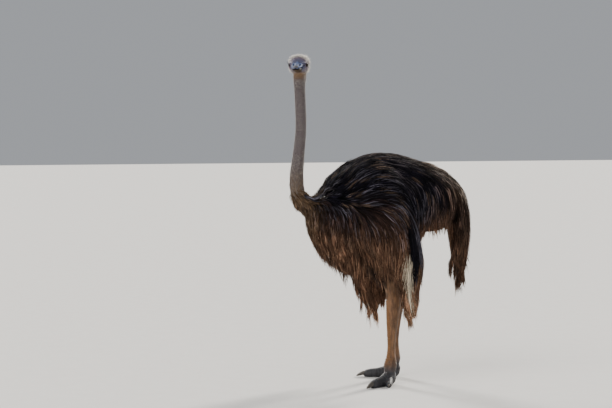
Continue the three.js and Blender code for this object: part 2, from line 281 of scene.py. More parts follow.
def fade(value, low, high):
    """The soft step the other way round: 1 under low and 0 over high."""
    return 1 - soft(value, low, high)


def hill(value, middle, width):
    """1 at the middle, and soft slopes to 0 on both sides."""
    return np.exp(-(((value - middle) / width) ** 2))


def unit(vectors):
    return vectors / np.maximum(np.linalg.norm(vectors, axis=-1, keepdims=True), 1e-9)


# %% Lay the floor
paper = Finish("pale floor", Roughness=0.85)
paper.feed(Base_Color=paper.mix(paper.speckle(9, 4), (0.60, 0.59, 0.57), (0.66, 0.65, 0.63)))
FLOOR = 40.0
floor_corners = np.array([[-FLOOR, -FLOOR, 0], [FLOOR, -FLOOR, 0], [FLOOR, FLOOR, 0], [-FLOOR, FLOOR, 0]])
floor = mesh_of("floor", floor_corners, np.array([[0, 1, 2], [0, 2, 3]]), paper)

# %% [markdown]
# ## The shape that the plumes fill
# The solids show how far the plumes reach. Welded and evened out, trunk, wings, tail, thighs and the foot
# of the neck make one closed surface. The tips will end on it, and the flesh lies well under it.


# %% Make the outer shape
def merged_copy(name, nodes):
    """One welded mesh from copies of the frame's nodes."""
    welded = bmesh.new()
    for node in nodes:
        welded.from_mesh(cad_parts[node].data)
    bmesh.ops.remove_doubles(welded, verts=welded.verts, dist=0.0001)
    mesh = bpy.data.meshes.new(name)
    welded.to_mesh(mesh)
    welded.free()
    return placed(name, mesh)


def settled(obj):
    """Turns an object's modifiers into plain mesh."""
    mesh = bpy.data.meshes.new_from_object(obj.evaluated_get(bpy.context.evaluated_depsgraph_get()))
    obj.modifiers.clear()
    obj.data = mesh
    return obj


def softened(obj, rounds):
    soften = obj.modifiers.new("soften", "SMOOTH")
    soften.factor, soften.iterations = 0.5, rounds
    return settled(obj)


def evened(name, nodes, grid, rounds):
    """The nodes as one closed skin of even squares, softened a little."""
    made = merged_copy(name, nodes)
    squares = made.modifiers.new("squares", "REMESH")
    squares.mode, squares.voxel_size = "VOXEL", grid
    return softened(made, rounds)


def tree_of(obj):
    return BVHTree.FromObject(obj, bpy.context.evaluated_depsgraph_get())


PLUMED = ["trunk", "wing_left", "wing_right", "tail", "neck_lower", "thigh_left", "thigh_right"]
outer = evened("outer", PLUMED, 0.009, 6)
outer_tree = tree_of(outer)
print("outer shape:", len(outer.data.polygons), "faces")

# %% [markdown]
# ## Flesh under the plumes
# Plumes stand a hand's width off a real ostrich, so her body is much slimmer than she looks. Geometry
# Nodes make a volume that fades inwards from the outer shape and cut it at its middle value. That gives
# a body some five centimetres inside it all round, and thin fringes vanish by themselves.


# %% Shrink the body with Geometry Nodes
class Recipe(Tree):
    """A Geometry Nodes tree whose inputs are the geometry and named sizes."""

    def __init__(self, name, *sizes):
        super().__init__(bpy.data.node_groups.new(name, "GeometryNodeTree"))
        kinds = [("INPUT", "Geometry"), *(("INPUT", size) for size in sizes), ("OUTPUT", "Geometry")]
        for way, title in kinds:
            kind = "NodeSocketGeometry" if title == "Geometry" else "NodeSocketFloat"
            self.tree.interface.new_socket(title, in_out=way, socket_type=kind)

    def given(self, title):
        return self.node("NodeGroupInput", output=title)

    def end(self, geometry, finish):
        """Ends the tree in real geometry with its finish."""
        real = self.node("GeometryNodeRealizeInstances", None, {"Geometry": geometry})
        inputs = {"Geometry": real, "Material": finish.material}
        painted = self.node("GeometryNodeSetMaterial", None, inputs)
        self.node("NodeGroupOutput", None, {0: painted})

    def shape(self, obj, **sizes):
        """Runs the tree on an object, its inputs set by socket identifier, and keeps the mesh."""
        modifier = obj.modifiers.new(self.tree.name, "NODES")
        modifier.node_group = self.tree
        for socket in self.tree.interface.items_tree:
            if socket.in_out == "INPUT" and socket.name in sizes:
                modifier[socket.identifier] = sizes[socket.name]
        return settled(obj)


PLUME_DEPTH, GRID, MIDDLE_VALUE = 0.045, 0.014, 0.5
bare = Finish("bare skin", Roughness=0.62, Subsurface_Weight=0.08, Subsurface_Scale=0.01)
shrink = Recipe("body under plumes", "Depth", "Grid")
by_size = {"resolution_mode": "VOXEL_SIZE"}
inputs = {"Mesh": shrink.given("Geometry"), "Voxel Size": shrink.given("Grid")}
inputs["Interior Band Width"] = shrink.given("Depth") * 2
inputs = {"Volume": shrink.node("GeometryNodeMeshToVolume", by_size, inputs)}
inputs |= {"Voxel Size": shrink.given("Grid"), "Threshold": MIDDLE_VALUE}
shrink.end(shrink.node("GeometryNodeVolumeToMesh", by_size, inputs), bare)

flesh = placed("flesh", outer.data.copy())
softened(shrink.shape(flesh, Depth=PLUME_DEPTH, Grid=GRID), 8)
print("flesh:", len(flesh.data.polygons), "faces", [round(d, 2) for d in flesh.dimensions])

# %% [markdown]
# ## Head, neck and legs
# These carry little or no plumage, so their skin follows the solids closely and needs finer squares. Each
# is drawn in by the depth of its own down, and later joined to the flesh.

# %% Evened head, neck and legs
HEAD_AT = np.array([0.002, -0.4556, 1.741])  # the middle of the skull, between the eyes
HEAD_TURN, HEAD_PITCH = math.radians(65.5), math.radians(3)
turned = Matrix.Rotation(HEAD_TURN - math.pi / 2, 3, "Z") @ Matrix.Rotation(HEAD_PITCH, 3, "Y")
HEAD_AXES = np.array(turned).T  # rows: towards the bill, towards its left, up


def in_head(points):
    """Places measured from the middle of the skull, along the head's own axes, in millimetres."""
    return (np.asarray(points, float) - HEAD_AT) @ HEAD_AXES.T * 1000


def from_head(points):
    return np.asarray(points, float) / 1000 @ HEAD_AXES + HEAD_AT


NECKS = ["neck_upper", "neck_middle", "neck_lower"]
FACE = ["head", "bill_upper", "bill_lower", "eye_left", "eye_right"]
CLAWS = ["claw_big_left", "claw_big_right", "claw_small_left", "claw_small_right"]
top = evened("head and neck", FACE + NECKS, 0.0021, 10)
legs = []
for _, side in SIDES:
    nodes = [f"{part}_{side}" for part in ("thigh", "shank", "foot", "claw_big", "claw_small")]
    legs.append(evened("leg_" + side, nodes, 0.0036, 8))
print("head and neck:", len(top.data.polygons), "faces; legs:", [len(leg.data.polygons) for leg in legs])

# %% [markdown]
# ## Lids, brow and ear
# An ostrich's eye is larger than its brain. It fills the side of the head, and thin dark lids ride on it.
# So the skin near each eye is moved onto a sphere a little larger than the ball, and dips under it where
# the lids open. A brow, a pit for the ear and the line of the gape finish the face.

# %% Model the face
EYE_AT = np.array([36.0, 32.0, 0.0])  # the left eye's middle, in the head's millimetres
EYE_RADIUS = 22.0
GAZE = unit(np.array([0.27, 0.96, 0.04]))
OPENING = (0.80, 0.50, 0.62)  # half angles of the lids' opening: along the head, upper, lower
LID_EDGE = 1.62  # how far out the crease of the lid lies, where the opening's rim is 1
BROW = ((40, 22), (44, 13), (27, 8))  # place and size along the head, aside and up
EAR = ((-8, 5), (-14, 6))  # place and size along the head and up


def eye_at(side):
    return EYE_AT * [1, side, 1]


def eye_axes(side):
    """Which way the eye looks, then along the face and up, for the left (1) or right (-1) eye."""
    gaze = GAZE * [1, side, 1]
    fore = unit(np.array([1.0, 0, 0]) - gaze[0] * gaze)
    return gaze, fore, np.cross(gaze, fore) * -side


def around_eye(points, side):
    """Distance from the eye's middle, direction, and how far out past the lids' opening (1 at its rim)."""
    gaze, fore, rise = eye_axes(side)
    out = points - eye_at(side)
    far = np.linalg.norm(out, axis=1)
    along_face, upward = (np.arctan2(out @ axis, out @ gaze) for axis in (fore, rise))
    tall = np.where(upward > 0, OPENING[1], OPENING[2])
    return far, out / far[:, None], np.hypot(along_face / OPENING[0], upward / tall), along_face, upward


def model_face(points):
    """The head's skin, in the head's millimetres, with its down's depth taken off."""
    p = points.copy()
    x, y, z = p.T  # views of p, which change with it
    for side in (1, -1):
        brow = hill(x, *BROW[0]) * hill(y * side, *BROW[1]) * hill(z, *BROW[2])
        p += brow[:, None] * np.array([0.5, 1.5 * side, 1.0])
        y -= hill(x, *EAR[0]) * hill(z, *EAR[1]) * (y * side > 25) * 6 * side
        gape = hill(z, 0.06 * (78 - x) - 25, 2.2) * soft(x, 30, 46) * (y * side > 10)
        y -= gape * 2.2 * side
        _, way, rim, along_face, upward = around_eye(p, side)
        under = EYE_RADIUS * 0.9 - EYE_RADIUS * 0.08 * soft(1 - rim, 0, 0.5)
        lid = EYE_RADIUS + 1.5 - 1.6 * hill(rim, LID_EDGE, 0.13)
        shell = under + (lid - under) * soft(rim, 0.93, 1.06)
        share = fade(rim, 1.55, 2.15) * (np.abs(upward) < 1.5) * (np.abs(along_face) < 1.55)
        p += (eye_at(side) + way * shell[:, None] - p) * share[:, None]
    return p


def finer_near(obj, places, near=0.034):
    """Splits the squares whose middles are near some places, and turns all into triangles."""
    mesh = bmesh.new()
    mesh.from_mesh(obj.data)
    middles = ((f, f.calc_center_median()) for f in mesh.faces)
    chosen = (f for f, middle in middles if any((middle - place).length < near for place in places))
    edges = list({e for f in chosen for e in f.edges})
    bmesh.ops.subdivide_edges(mesh, edges=edges, cuts=1, use_grid_fill=True)
    bmesh.ops.triangulate(mesh, faces=mesh.faces)
    mesh.to_mesh(obj.data)
    mesh.free()


eye_places = [Vector(from_head(eye_at(side))) for side in (1, -1)]
finer_near(top, eye_places)
for plain in (*legs, flesh):
    finer_near(plain, [])

NECK_DOWN, HEAD_DOWN, FACE_DOWN, LOW_NECK_DOWN, BILL_UNDER = 4.0, 6.5, 1.5, 9.0, 2.2
BILL_START, BILL_MIDDLE = 77.0, -12.0
place, normal = points_of(top), points_of(top, "normal")
spot = in_head(place)
bald = soft(spot[:, 0], 30, 60) * fade(np.abs(spot[:, 2] + 10), 26, 34)  # the face before the eyes
on_head = soft(place[:, 2], 1.66, 1.70)
down_depth = NECK_DOWN + (LOW_NECK_DOWN - NECK_DOWN) * fade(place[:, 2], 1.0, 1.14)
for depth, share in (
    (HEAD_DOWN, on_head), (FACE_DOWN, on_head * bald), (BILL_UNDER, soft(spot[:, 0], 76, 80)),
):  # fmt: skip
    down_depth = down_depth + (depth - down_depth) * share
spot = in_head(place - normal * down_depth[:, None] * 0.001)
core = 1 - 0.6 * soft(spot[:, 0], BILL_START, 92)  # under the horn only a slim bony core is left
spot[:, 1] *= core
spot[:, 2] = BILL_MIDDLE + (spot[:, 2] - BILL_MIDDLE) * core
spot[:, 0] -= 0.4 * np.maximum(spot[:, 0] - BILL_START, 0)
face = (spot[:, 0] > -40) & (on_head > 0)
spot[face] = model_face(spot[face])
set_points(top, from_head(spot))
print("eyes at", [[round(c, 3) for c in place] for place in eye_places])

# %% [markdown]
# ## One closed skin
# The four shapes overlap inside the bird. A union leaves only the outside, and then the broad smooth
# areas are thinned, so that the triangles are spent on the face and the feet.

# %% Join the skin
CLAW_UNDER, LEG_UNDER, FAR_FROM_CLAW = 0.0022, 0.0008, 0.004
claws = evened("claws", CLAWS, 0.0016, 4)
claw_tree = tree_of(claws)

for leg in legs:
    place, normal = points_of(leg), points_of(leg, "normal")
    near_claw = [claw_tree.find_nearest(Vector(p), FAR_FROM_CLAW)[3] or FAR_FROM_CLAW for p in place]
    near_claw = np.where(place[:, 2] > 0.06, FAR_FROM_CLAW, near_claw)
    depth = LEG_UNDER + (CLAW_UNDER - LEG_UNDER) * fade(near_claw, 0.001, 0.003)
    moved = place - normal * depth[:, None]
    moved[:, 2] -= LEG_UNDER * fade(place[:, 2], 0.004, 0.02)  # the soles stay on the floor
    set_points(leg, moved)
for extra in (flesh, *legs):
    union = top.modifiers.new("union", "BOOLEAN")
    union.operation, union.solver, union.object = "UNION", "MANIFOLD", extra
skin = settled(top)
skin.name = skin.data.name = "skin"
for extra in (flesh, *legs):
    bpy.data.objects.remove(extra)

height = points_of(skin)[:, 2]
detail = soft(height, 1.66, 1.69) * 0.97 + fade(height, 0.09, 0.15) * 0.9
group = skin.vertex_groups.new(name="smooth areas")
for index, value in enumerate(1 - detail):
    if value > 0.02:
        group.add([index], value, "REPLACE")
thin = skin.modifiers.new("thin", "DECIMATE")
thin.ratio, thin.vertex_group, thin.vertex_group_factor = 0.5, group.name, 6.0
before = len(skin.data.polygons)
settled(skin)
skin.vertex_groups.clear()
print("skin:", before, "->", len(skin.data.polygons), "triangles")

# %% [markdown]
# ## Colours of the bird
# One function says which colour each place of the bird's plumage has, and the skin asks it too, so the
# markings agree;
# the down has colours of its own. A hen is umber and paler on the rump. Painted light is added: a bluer black
# along the top stands for the sky's reflection, a warmer brown low on the flank for light bounced up from the
# floor, and paler plumes along the ridge of the back for a painted highlight.

# %% Colour by place
# the wing's blue black is a painted sky reflection, and the flank's warm brown is painted bounce light from
# the floor
UMBER, BLUE_BLACK, WARM_BOUNCE = np.array([[0.030, 0.018, 0.014], [0.0058, 0.0050, 0.0095], [0.150, 0.080, 0.049]])
PALE, OCHRE, CREAM = np.array([[0.19, 0.13, 0.09], [0.14, 0.085, 0.045], [0.66, 0.57, 0.44]])
# silver and ridge tan only colour painted highlights; tan colours painted highlights and the white plumes
SILVER_HIGHLIGHT, TAN, RIDGE_HIGHLIGHT = np.array([[0.075, 0.070, 0.088], [0.21, 0.12, 0.075], [0.23, 0.18, 0.145]])
NECK_PINK, THROAT, CROWN = np.array([[0.074, 0.055, 0.060], [0.19, 0.105, 0.048], [0.13, 0.10, 0.135]])
FACE_BLUE, DOWN_WHITE = np.array([[0.075, 0.077, 0.138], [0.80, 0.74, 0.66]])
DOWN_BROWN, DOWN_GREY = np.array([[0.075, 0.052, 0.042], [0.23, 0.195, 0.19]])
LEG_BUFF, FOOT_GREY = np.array([[0.172, 0.084, 0.036], [0.036, 0.035, 0.040]])
RIDGE_BACK, RIDGE_HIGH = [-0.3, -0.1, 0.05, 0.2, 0.45], [1.13, 1.22, 1.235, 1.15, 1.05]


def blend(first, second, share):
    return first + (second - first) * np.asarray(share, float)[..., None]


def either(first, second, share):
    """For each place the second colour, with the chance share, or else the first."""
    return blend(first, second, chance.random(len(share)) < share)


def above_lit_ridge_line(p):
    """How far places are above the line where the painted highlight along the ridge of the back begins."""
    return p[:, 2] - np.interp(p[:, 1], RIDGE_BACK, RIDGE_HIGH)


def plume_colour(p):
    """Colour of the plumes, by the places of their roots in metres."""
    _, y, z = p.T
    # painted sky reflection: a bluer black over the top of the body
    colour = blend(UMBER, BLUE_BLACK, soft(z, 0.84, 1.0) * fade(y, 0.24, 0.40) * soft(y, -0.40, -0.32))
    # painted bounce light: a warmer brown low on the flank and under the rump
    bounce_warmth = fade(z + 0.08 * np.abs(y + 0.03), 0.80, 1.06) * (0.8 - 0.3 * soft(y, 0.36, 0.42))
    under_rump = soft(y, 0.12, 0.20) * fade(y, 0.36, 0.42) * fade(z, 0.92, 1.06)
    colour = blend(colour, WARM_BOUNCE, np.maximum(bounce_warmth, 0.9 * under_rump))
    # painted highlight: paler plumes along the ridge of the back
    colour = blend(colour, PALE, 0.22 * soft(above_lit_ridge_line(p), 0.0, 0.07))
    colour = blend(colour, PALE, 0.06 * soft(y, 0.40, 0.50) * soft(z, 0.55, 0.8))
    return blend(colour, OCHRE, 0.75 * fade(y, -0.43, -0.34) * soft(z, 0.72, 0.9))


def highlight_colour(p):
    """Colour of the strands that lie on top with a painted highlight: silvery on the wing, tan low down, pale
    along the back.
    """
    _, y, z = p.T
    colour = blend(blend(SILVER_HIGHLIGHT, TAN, fade(z, 0.82, 1.0)), TAN, 0.6 * soft(y, 0.16, 0.30))
    colour = blend(colour, UMBER, 0.5 * np.maximum(soft(z, 1.10, 1.16), soft(y, 0.38, 0.46)))
    colour = blend(colour, PALE * 1.3, fade(y, -0.44, -0.36))
    return blend(colour, RIDGE_HIGHLIGHT, soft(above_lit_ridge_line(p), 0.0, 0.06))


def skin_colour(p):
    """Colour of the bare skin: pink-grey neck, buff legs, grey feet, dusky blue face."""
    _, y, z = p.T
    to_bill, _, up = in_head(p).T
    throat = soft(to_bill, 0, 30) * fade(up, -45, -34)
    # under the plumes the skin is a darker copy of the plumage: painted shade deep among the plumes
    colour = plume_colour(p) * 0.6
    for paint, share in (
        (LEG_BUFF, fade(z, 0.58, 0.70)),
        (FOOT_GREY, fade(z, 0.06, 0.15)),
        (OCHRE, soft(z, 0.95, 1.02) * (y < -0.33)),
        (NECK_PINK, soft(z, 1.05, 1.2) * (y < -0.33)),
        (CROWN, soft(z, 1.685, 1.72) * (1 - throat)),
        (THROAT, throat * soft(z, 1.65, 1.69)),
        (FACE_BLUE, soft(to_bill, 46, 66) * soft(up, -32, -22) * soft(z, 1.68, 1.70)),
    ):
        colour = blend(colour, paint, share)
    return colour


print("wing", BLUE_BLACK, "flank", WARM_BOUNCE, "leg", LEG_BUFF)

# %% [markdown]
# ## Skin finish
# Bare bird skin is dry and finely pebbled, and on the legs the pebbles become flat scales. Two sizes of
# cells make both, and a number stored on the mesh says where the scales begin.

# %% Finish the skin
fine = bare.speckle(160, 3)
paint = bare.shade(bare.tint(), bare.speckle(38, 4) * 0.7 + fine * 0.5 + 0.4)
scaly = bare.stored("scaly")
scales = bare.seams(150).band(0.0, 0.12)
rubbed = bare.speckle(90, 4, bare.stretched((1.0, 1.0, 0.2))).band(0.3, 0.7)
worn = (scales * 0.22 + 0.78) * (rubbed * 0.9 + 0.55)
ring_marks = bare.speckle(60, 2, bare.stretched((0.4, 0.4, 3.0)))
white = (1, 1, 1)
paint = bare.mix(1.0, paint, bare.mix(scaly, white, bare.shade(white, worn)), "MULTIPLY")
relief = scaly * scales * 0.8 + bare.seams(330) * 0.35 + ring_marks * 0.5
bare.surface(paint, fine, (0.25, 0.48), relief, 0.55, 0.0016)
place = points_of(skin)
store(skin, "tint", skin_colour(place))
store(skin, "scaly", fade(place[:, 2], 0.50, 0.62))
piece(finished(skin, bare), "skin", *FLESH)

# %% [markdown]
# ## Eyes
# The ball is dark brown with a black pupil, and so wet that it mirrors the lamps. The clear front bulges
# a little more than the rest. Rings of colour follow a number stored on the mesh, the angle from the gaze.


# %% Make the eyes
def tube_triangles(rings, sides, first, start_point):
    """Triangles of a tube of rings that ends in a point, and may also start from one."""
    ring, side = np.meshgrid(np.arange(rings - 1), np.arange(sides), indexing="ij")
    a, b = first + ring * sides + side, first + ring * sides + (side + 1) % sides
    parts = [np.stack([a, a + sides, b], -1), np.stack([b, a + sides, b + sides], -1)]
    s, n = np.arange(sides), (np.arange(sides) + 1) % sides
    if start_point:
        parts.append(np.stack([np.full(sides, first - 1), first + s, first + n], -1))
    last = first + (rings - 1) * sides
    parts.append(np.stack([last + s, np.full(sides, last + sides), last + n], -1))
    return np.vstack([part.reshape(-1, 3) for part in parts])


def ball(rings, sides):
    """Directions and triangles of a closed ball whose first pole points along +Z."""
    angles = np.linspace(0, math.pi, rings + 1)[1:-1]
    turns = np.arange(sides) * 2 * math.pi / sides
    a, t = np.meshgrid(angles, turns, indexing="ij")
    middle = np.stack([np.sin(a) * np.cos(t), np.sin(a) * np.sin(t), np.cos(a)], -1).reshape(-1, 3)
    return np.vstack([[[0, 0, 1.0]], middle, [[0, 0, -1.0]]]), tube_triangles(rings - 1, sides, 1, True)


wet = Finish("wet eye", Roughness=0.07, IOR=1.36, Specular_IOR_Level=0.3)
off_gaze = wet.stored("off gaze")
iris = wet.mix(wet.speckle(700, 2), (0.010, 0.004, 0.002), (0.026, 0.012, 0.006))
with_pupil = wet.mix(off_gaze.band(0.30, 0.34), (0.002, 0.002, 0.002), iris)
wet.feed(Base_Color=wet.mix(off_gaze.band(0.62, 0.72), with_pupil, (0.012, 0.007, 0.006)))

for side, name in SIDES:
    gaze, fore, rise = eye_axes(side)
    ways, triangles = ball(36, 48)
    angle = np.arccos(np.clip(ways[:, 2], -1, 1))
    size = (EYE_RADIUS - 0.6) * (1 + 0.035 * hill(angle, 0, 0.5))
    shape = eye_at(side) + (ways * size[:, None]) @ np.array([fore, np.cross(gaze, fore), gaze])
    eye = mesh_of("eyeball_" + name, from_head(shape), triangles, wet)
    store(eye, "off gaze", angle)
    piece(eye, "eye", "eye_" + name)

# %% [markdown]
# ## Bill
# The bill is broad, flat and blunt, with a thicker nail at its tip and an open slit nostril on each side.
# Each half is a loft through measured sections, fine enough to press the nostrils into the mesh itself.

# %% Sections of the bill
# each row: along the bill, top, bottom, half width, in the head's millimetres
BILL_TOP = [[66, 18, -12, 25], [78, 17, -13.5, 28.5], [90, 12, -14, 29.5], [108, 5, -14.2, 27.6]]
BILL_TOP += [[130, 1, -15.2, 24], [146, -2.4, -17, 18.5], [153, -5.4, -18.6, 13], [156.2, -8.6, -19.4, 8]]
BILL_LOW = [[58, -9, -37.4, 25.5], [90, -9, -33.4, 25.6], [120, -11, -29, 22.6], [138, -14, -26.6, 17.5]]
BILL_LOW += [[145, -16, -25, 12.5], [148.5, -18, -23.5, 7]]
NOSTRIL = ((102, 9.0), (16, 3.9), 7.5)  # place and size along the bill and aside, and depth


def through(rows, count):
    """Rows read off a smooth curve through the given ones, close together at both ends."""
    rows = np.asarray(rows, float)
    x = rows[:, 0]
    steps = np.diff(x)
    rates = np.diff(rows, axis=0) / steps[:, None]
    slopes = np.vstack([rates[:1], np.zeros_like(rates[1:]), rates[-1:]])
    agree = rates[:-1] * rates[1:] > 0
    slopes[1:-1] = np.where(agree, 2 * rates[:-1] * rates[1:] / np.where(agree, rates[:-1] + rates[1:], 1), 0)
    at = x[0] + (x[-1] - x[0]) * (1 - np.cos(np.linspace(0, math.pi, count))) / 2
    i = np.clip(np.searchsorted(x, at, side="right") - 1, 0, len(steps) - 1)
    t, h = ((at - x[i]) / steps[i])[:, None], steps[i][:, None]
    start = (1 + 2 * t) * (1 - t) ** 2 * rows[i] + t * (1 - t) ** 2 * h * slopes[i]
    return start + t * t * (3 - 2 * t) * rows[i + 1] + t * t * (t - 1) * h * slopes[i + 1]


def bill_half(name, sections, ridge, node):
    """A closed half of the bill. Only the upper half has a ridge, nostrils and a nail."""
    rings, sides, upper = 90, 96, ridge > 0
    turns = np.arange(sides) * 2 * math.pi / sides
    c, s = np.cos(turns), np.sin(turns)
    across, up = np.sign(c) * np.abs(c) ** (2 / 2.5), np.sign(s) * np.abs(s) ** (2 / 2.2)
    x, high, low, half = (column[:, None] for column in through(sections, rings).T)
    mid, far = (high + low) / 2, np.broadcast_to(x, (rings, sides))
    y = half * across
    z = mid + (high - low) / 2 * up
    z = z + ridge * hill(y, 0, 7.5) * np.maximum(up, 0) * fade(x, 120, 150)
    z = z - 2.0 * hill(np.abs(y), 15, 6) * np.maximum(up, 0) * upper
    (along, long), (aside, wide), deep = NOSTRIL
    slit = hill(far, along, long) * hill(np.abs(y), aside - 0.12 * (far - along), wide) * (up > 0) * upper
    nail = soft(far, 128, 138) * upper * (up > 0) * (np.abs(y) < 14)
    z = z - slit * deep + nail * 0.8
    points = np.stack([far, y, z], -1).reshape(-1, 3)
    points = np.vstack([[[x[0, 0] - 1, 0, mid[0, 0]]], points, [[x[-1, 0] + 0.8, 0, mid[-1, 0]]]])
    made = mesh_of(name, from_head(points), tube_triangles(rings, sides, 1, True)[:, ::-1], horn)
    # painted shade on the faces of both halves that meet in the mouth's gap, and in the nostrils' hollows
    mouth_shade = np.broadcast_to(fade(up, -0.75, -0.1) if upper else soft(up, -0.8, -0.3), y.shape)
    chin = np.full(y.shape, float(not upper))
    for title, values in (("nostril_shade", soft(slit, 0.18, 0.55)), ("mouth_shade", mouth_shade), ("nail", nail), ("chin", chin)):
        at_ends = {"mouth_shade": 1, "chin": not upper}.get(title, 0)
        store(made, title, np.concatenate([[at_ends], values.ravel(), [at_ends]]))
    piece(made, "horn", node)


horn = Finish("bill horn", Specular_IOR_Level=0.06)
clouds, long_grain = horn.speckle(85, 5), horn.speckle(260, 3)
paint = horn.mix(clouds.band(0.3, 0.7), (0.036, 0.050, 0.105), (0.14, 0.185, 0.34))
chin = horn.mix(clouds.band(0.3, 0.7), (0.030, 0.019, 0.013), (0.085, 0.055, 0.034))
# the last two marks are painted shade: the gap of the mouth and the hollows of the nostrils
for mark, share, colour in (
    ("nail", 0.6, (0.15, 0.125, 0.08)),
    ("chin", 1, chin),
    ("mouth_shade", 0.95, (0.012, 0.008, 0.007)),
    ("nostril_shade", 1, (0.004, 0.004, 0.005)),
):
    paint = horn.mix(horn.stored(mark) * share, paint, colour)
paint = horn.shade(paint, long_grain * 0.5 + 0.75)
horn.surface(paint, long_grain, (0.3, 0.45), long_grain + clouds, 0.5, 0.0008)
bill_half("upper_bill", BILL_TOP, 3.5, "bill_upper")
bill_half("lower_bill", BILL_LOW, 0.0, "bill_lower")

# %% [markdown]
# ## Claws
# Two toes on each foot end in a claw: a broad blunt nail on the big toe, a small one on the other. The
# solids have their shape already, so they only need even squares and a finish of rubbed horn.

# %% Finish the claws
nails = Finish("claw horn")
rubbed = nails.speckle(110, 4)
paint = nails.mix(rubbed, (0.02, 0.018, 0.018), (0.13, 0.11, 0.09))
nails.surface(paint, rubbed, (0.3, 0.35), rubbed, 0.4, 0.001)
piece(finished(claws, nails), "horn", *CLAWS)

# %% [markdown]
# ## The lie of the plumes
# Wind and their own weight comb the plumes. On the side of a standing ostrich they run up and back over
# the shoulder, level along the wing, and then bend down to hang. A short table says this: at some places
# along and up the body, the angle of the plumes under the level. All others blend the nearest rows.

# %% Directions over the body
LIE = [  # back along the body, height, angle below the level: 0 runs to the tail and 90 straight down
    (-0.43, 1.00, 88), (-0.42, 1.05, 15), (-0.39, 1.04, 22), (-0.355, 1.02, 62), (-0.335, 0.97, 86),
    (-0.34, 0.88, 88), (-0.30, 1.07, 8), (-0.27, 1.02, 24), (-0.26, 0.94, 62), (-0.22, 1.13, -36),
    (-0.14, 1.17, -38), (-0.27, 0.80, 86), (-0.20, 1.04, -22), (-0.06, 1.23, -14), (0.03, 1.23, 20),
    (0.10, 1.22, 36), (0.22, 1.20, 44), (0.33, 1.15, 60), (0.43, 1.06, 76), (0.48, 0.92, 84),
    (0.48, 0.72, 90), (0.40, 0.95, 84), (-0.14, 0.66, 92), (0.02, 0.63, 90), (0.12, 0.60, 88),
    (-0.12, 1.10, -20), (-0.04, 1.13, -4), (0.02, 1.13, 18), (0.05, 1.08, 46), (0.09, 1.10, 70),
    (0.12, 1.15, 58), (-0.13, 1.02, -12), (-0.05, 1.03, 0), (0.01, 1.02, 26), (0.06, 1.00, 62),
    (0.10, 0.98, 84), (0.16, 1.05, 82), (0.22, 1.13, 70), (0.22, 1.02, 90), (0.30, 1.05, 84),
    (0.30, 0.90, 88), (0.20, 0.90, 88), (0.14, 0.86, 84), (-0.14, 0.93, 50), (-0.04, 0.93, 46),
    (0.03, 0.93, 58), (0.07, 0.90, 78), (-0.16, 0.82, 84), (-0.02, 0.82, 82), (0.0, 0.74, 90),
    (0.12, 0.74, 90), (-0.24, 0.88, 82),
]  # fmt: skip
LIE_REACH = 0.04
lie_spots, lie_angles = np.array(LIE)[:, :2], np.radians(np.array(LIE)[:, 2])


def lie(place, normal):
    """Which way the plumes lie at places on the outer shape."""
    apart = ((place[:, None, 1:] - lie_spots[None]) ** 2).sum(-1)
    weight = np.exp(-apart / (2 * LIE_REACH**2)) + 1e-5 / (apart + 1e-3)
    weight /= weight.sum(1, keepdims=True)
    back, fall = weight @ np.cos(lie_angles), weight @ np.sin(lie_angles)
    back += 1.7 * np.abs(normal[:, 2]) ** np.where(normal[:, 2] > 0, 1.6, 4)
    aside = np.sign(place[:, 0]) * 0.4 * np.clip(normal[:, 2], 0, 1) ** 2 * soft(np.abs(place[:, 0]), 0, 0.05)
    way = np.stack([aside, back, -fall], -1)
    return unit(way - (way * normal).sum(1, keepdims=True) * normal)


print("directions in the table:", len(LIE))


# %% Follow the outer shape
def nearest(points):
    """The nearest places on the outer shape, and which way it faces there."""
    found = [outer_tree.find_nearest(Vector(p))[:2] for p in points]
    return np.array([tuple(f[0]) for f in found]), np.array([tuple(f[1]) for f in found])


def follow(start, facing, length, hang, steps=9):
    """Paths over the outer shape, which hang free past its lower edges for a little way."""
    place, normal, heading = start, facing, lie(start, facing)
    path, faces = [place], [normal]
    free, may_hang = np.zeros(len(place)), facing[:, 2] > -0.75
    loose = np.zeros(len(place), bool)
    for _ in range(steps - 1):
        heading = unit(heading * 0.3 + lie(place, normal) * 0.7)
        heading[loose] = unit(heading[loose] * 0.5 + [0, 0.05, -0.5])
        stride = length / (steps - 1)
        stride = np.where(loose, np.minimum(stride, hang - free), stride)
        trial = place + heading * stride[:, None]
        found, turned_to = nearest(trial)
        free = free + np.where(loose, stride, 0)
        loose = loose | (may_hang & (turned_to[:, 2] < -0.58))
        place = np.where(loose[:, None], trial, found)
        normal = np.where(loose[:, None], normal, turned_to)
        path.append(place)
        faces.append(normal)
    return respaced(np.stack(path, 1), np.stack(faces, 1))


def between(values, at):
    """Reads rows of values at fractional places along them, one or more to a row."""
    low = np.minimum(at.astype(int), values.shape[1] - 2)
    row = np.arange(len(at)).reshape(-1, *[1] * (at.ndim - 1))
    share = (at - low)[..., None]
    return values[row, low] * (1 - share) + values[row, low + 1] * share


def respaced(path, faces):
    """The same paths with their points evenly spaced, however short each came out."""
    steps = np.arange(path.shape[1])
    walked = np.linalg.norm(np.diff(path, axis=1), axis=2).cumsum(1)
    walked = np.insert(walked, 0, 0, axis=1) + steps * 1e-7
    at = np.array([np.interp(w[-1] * steps / steps[-1], w, steps) for w in walked])
    return between(path, at), unit(between(faces, at)), walked[:, -1]


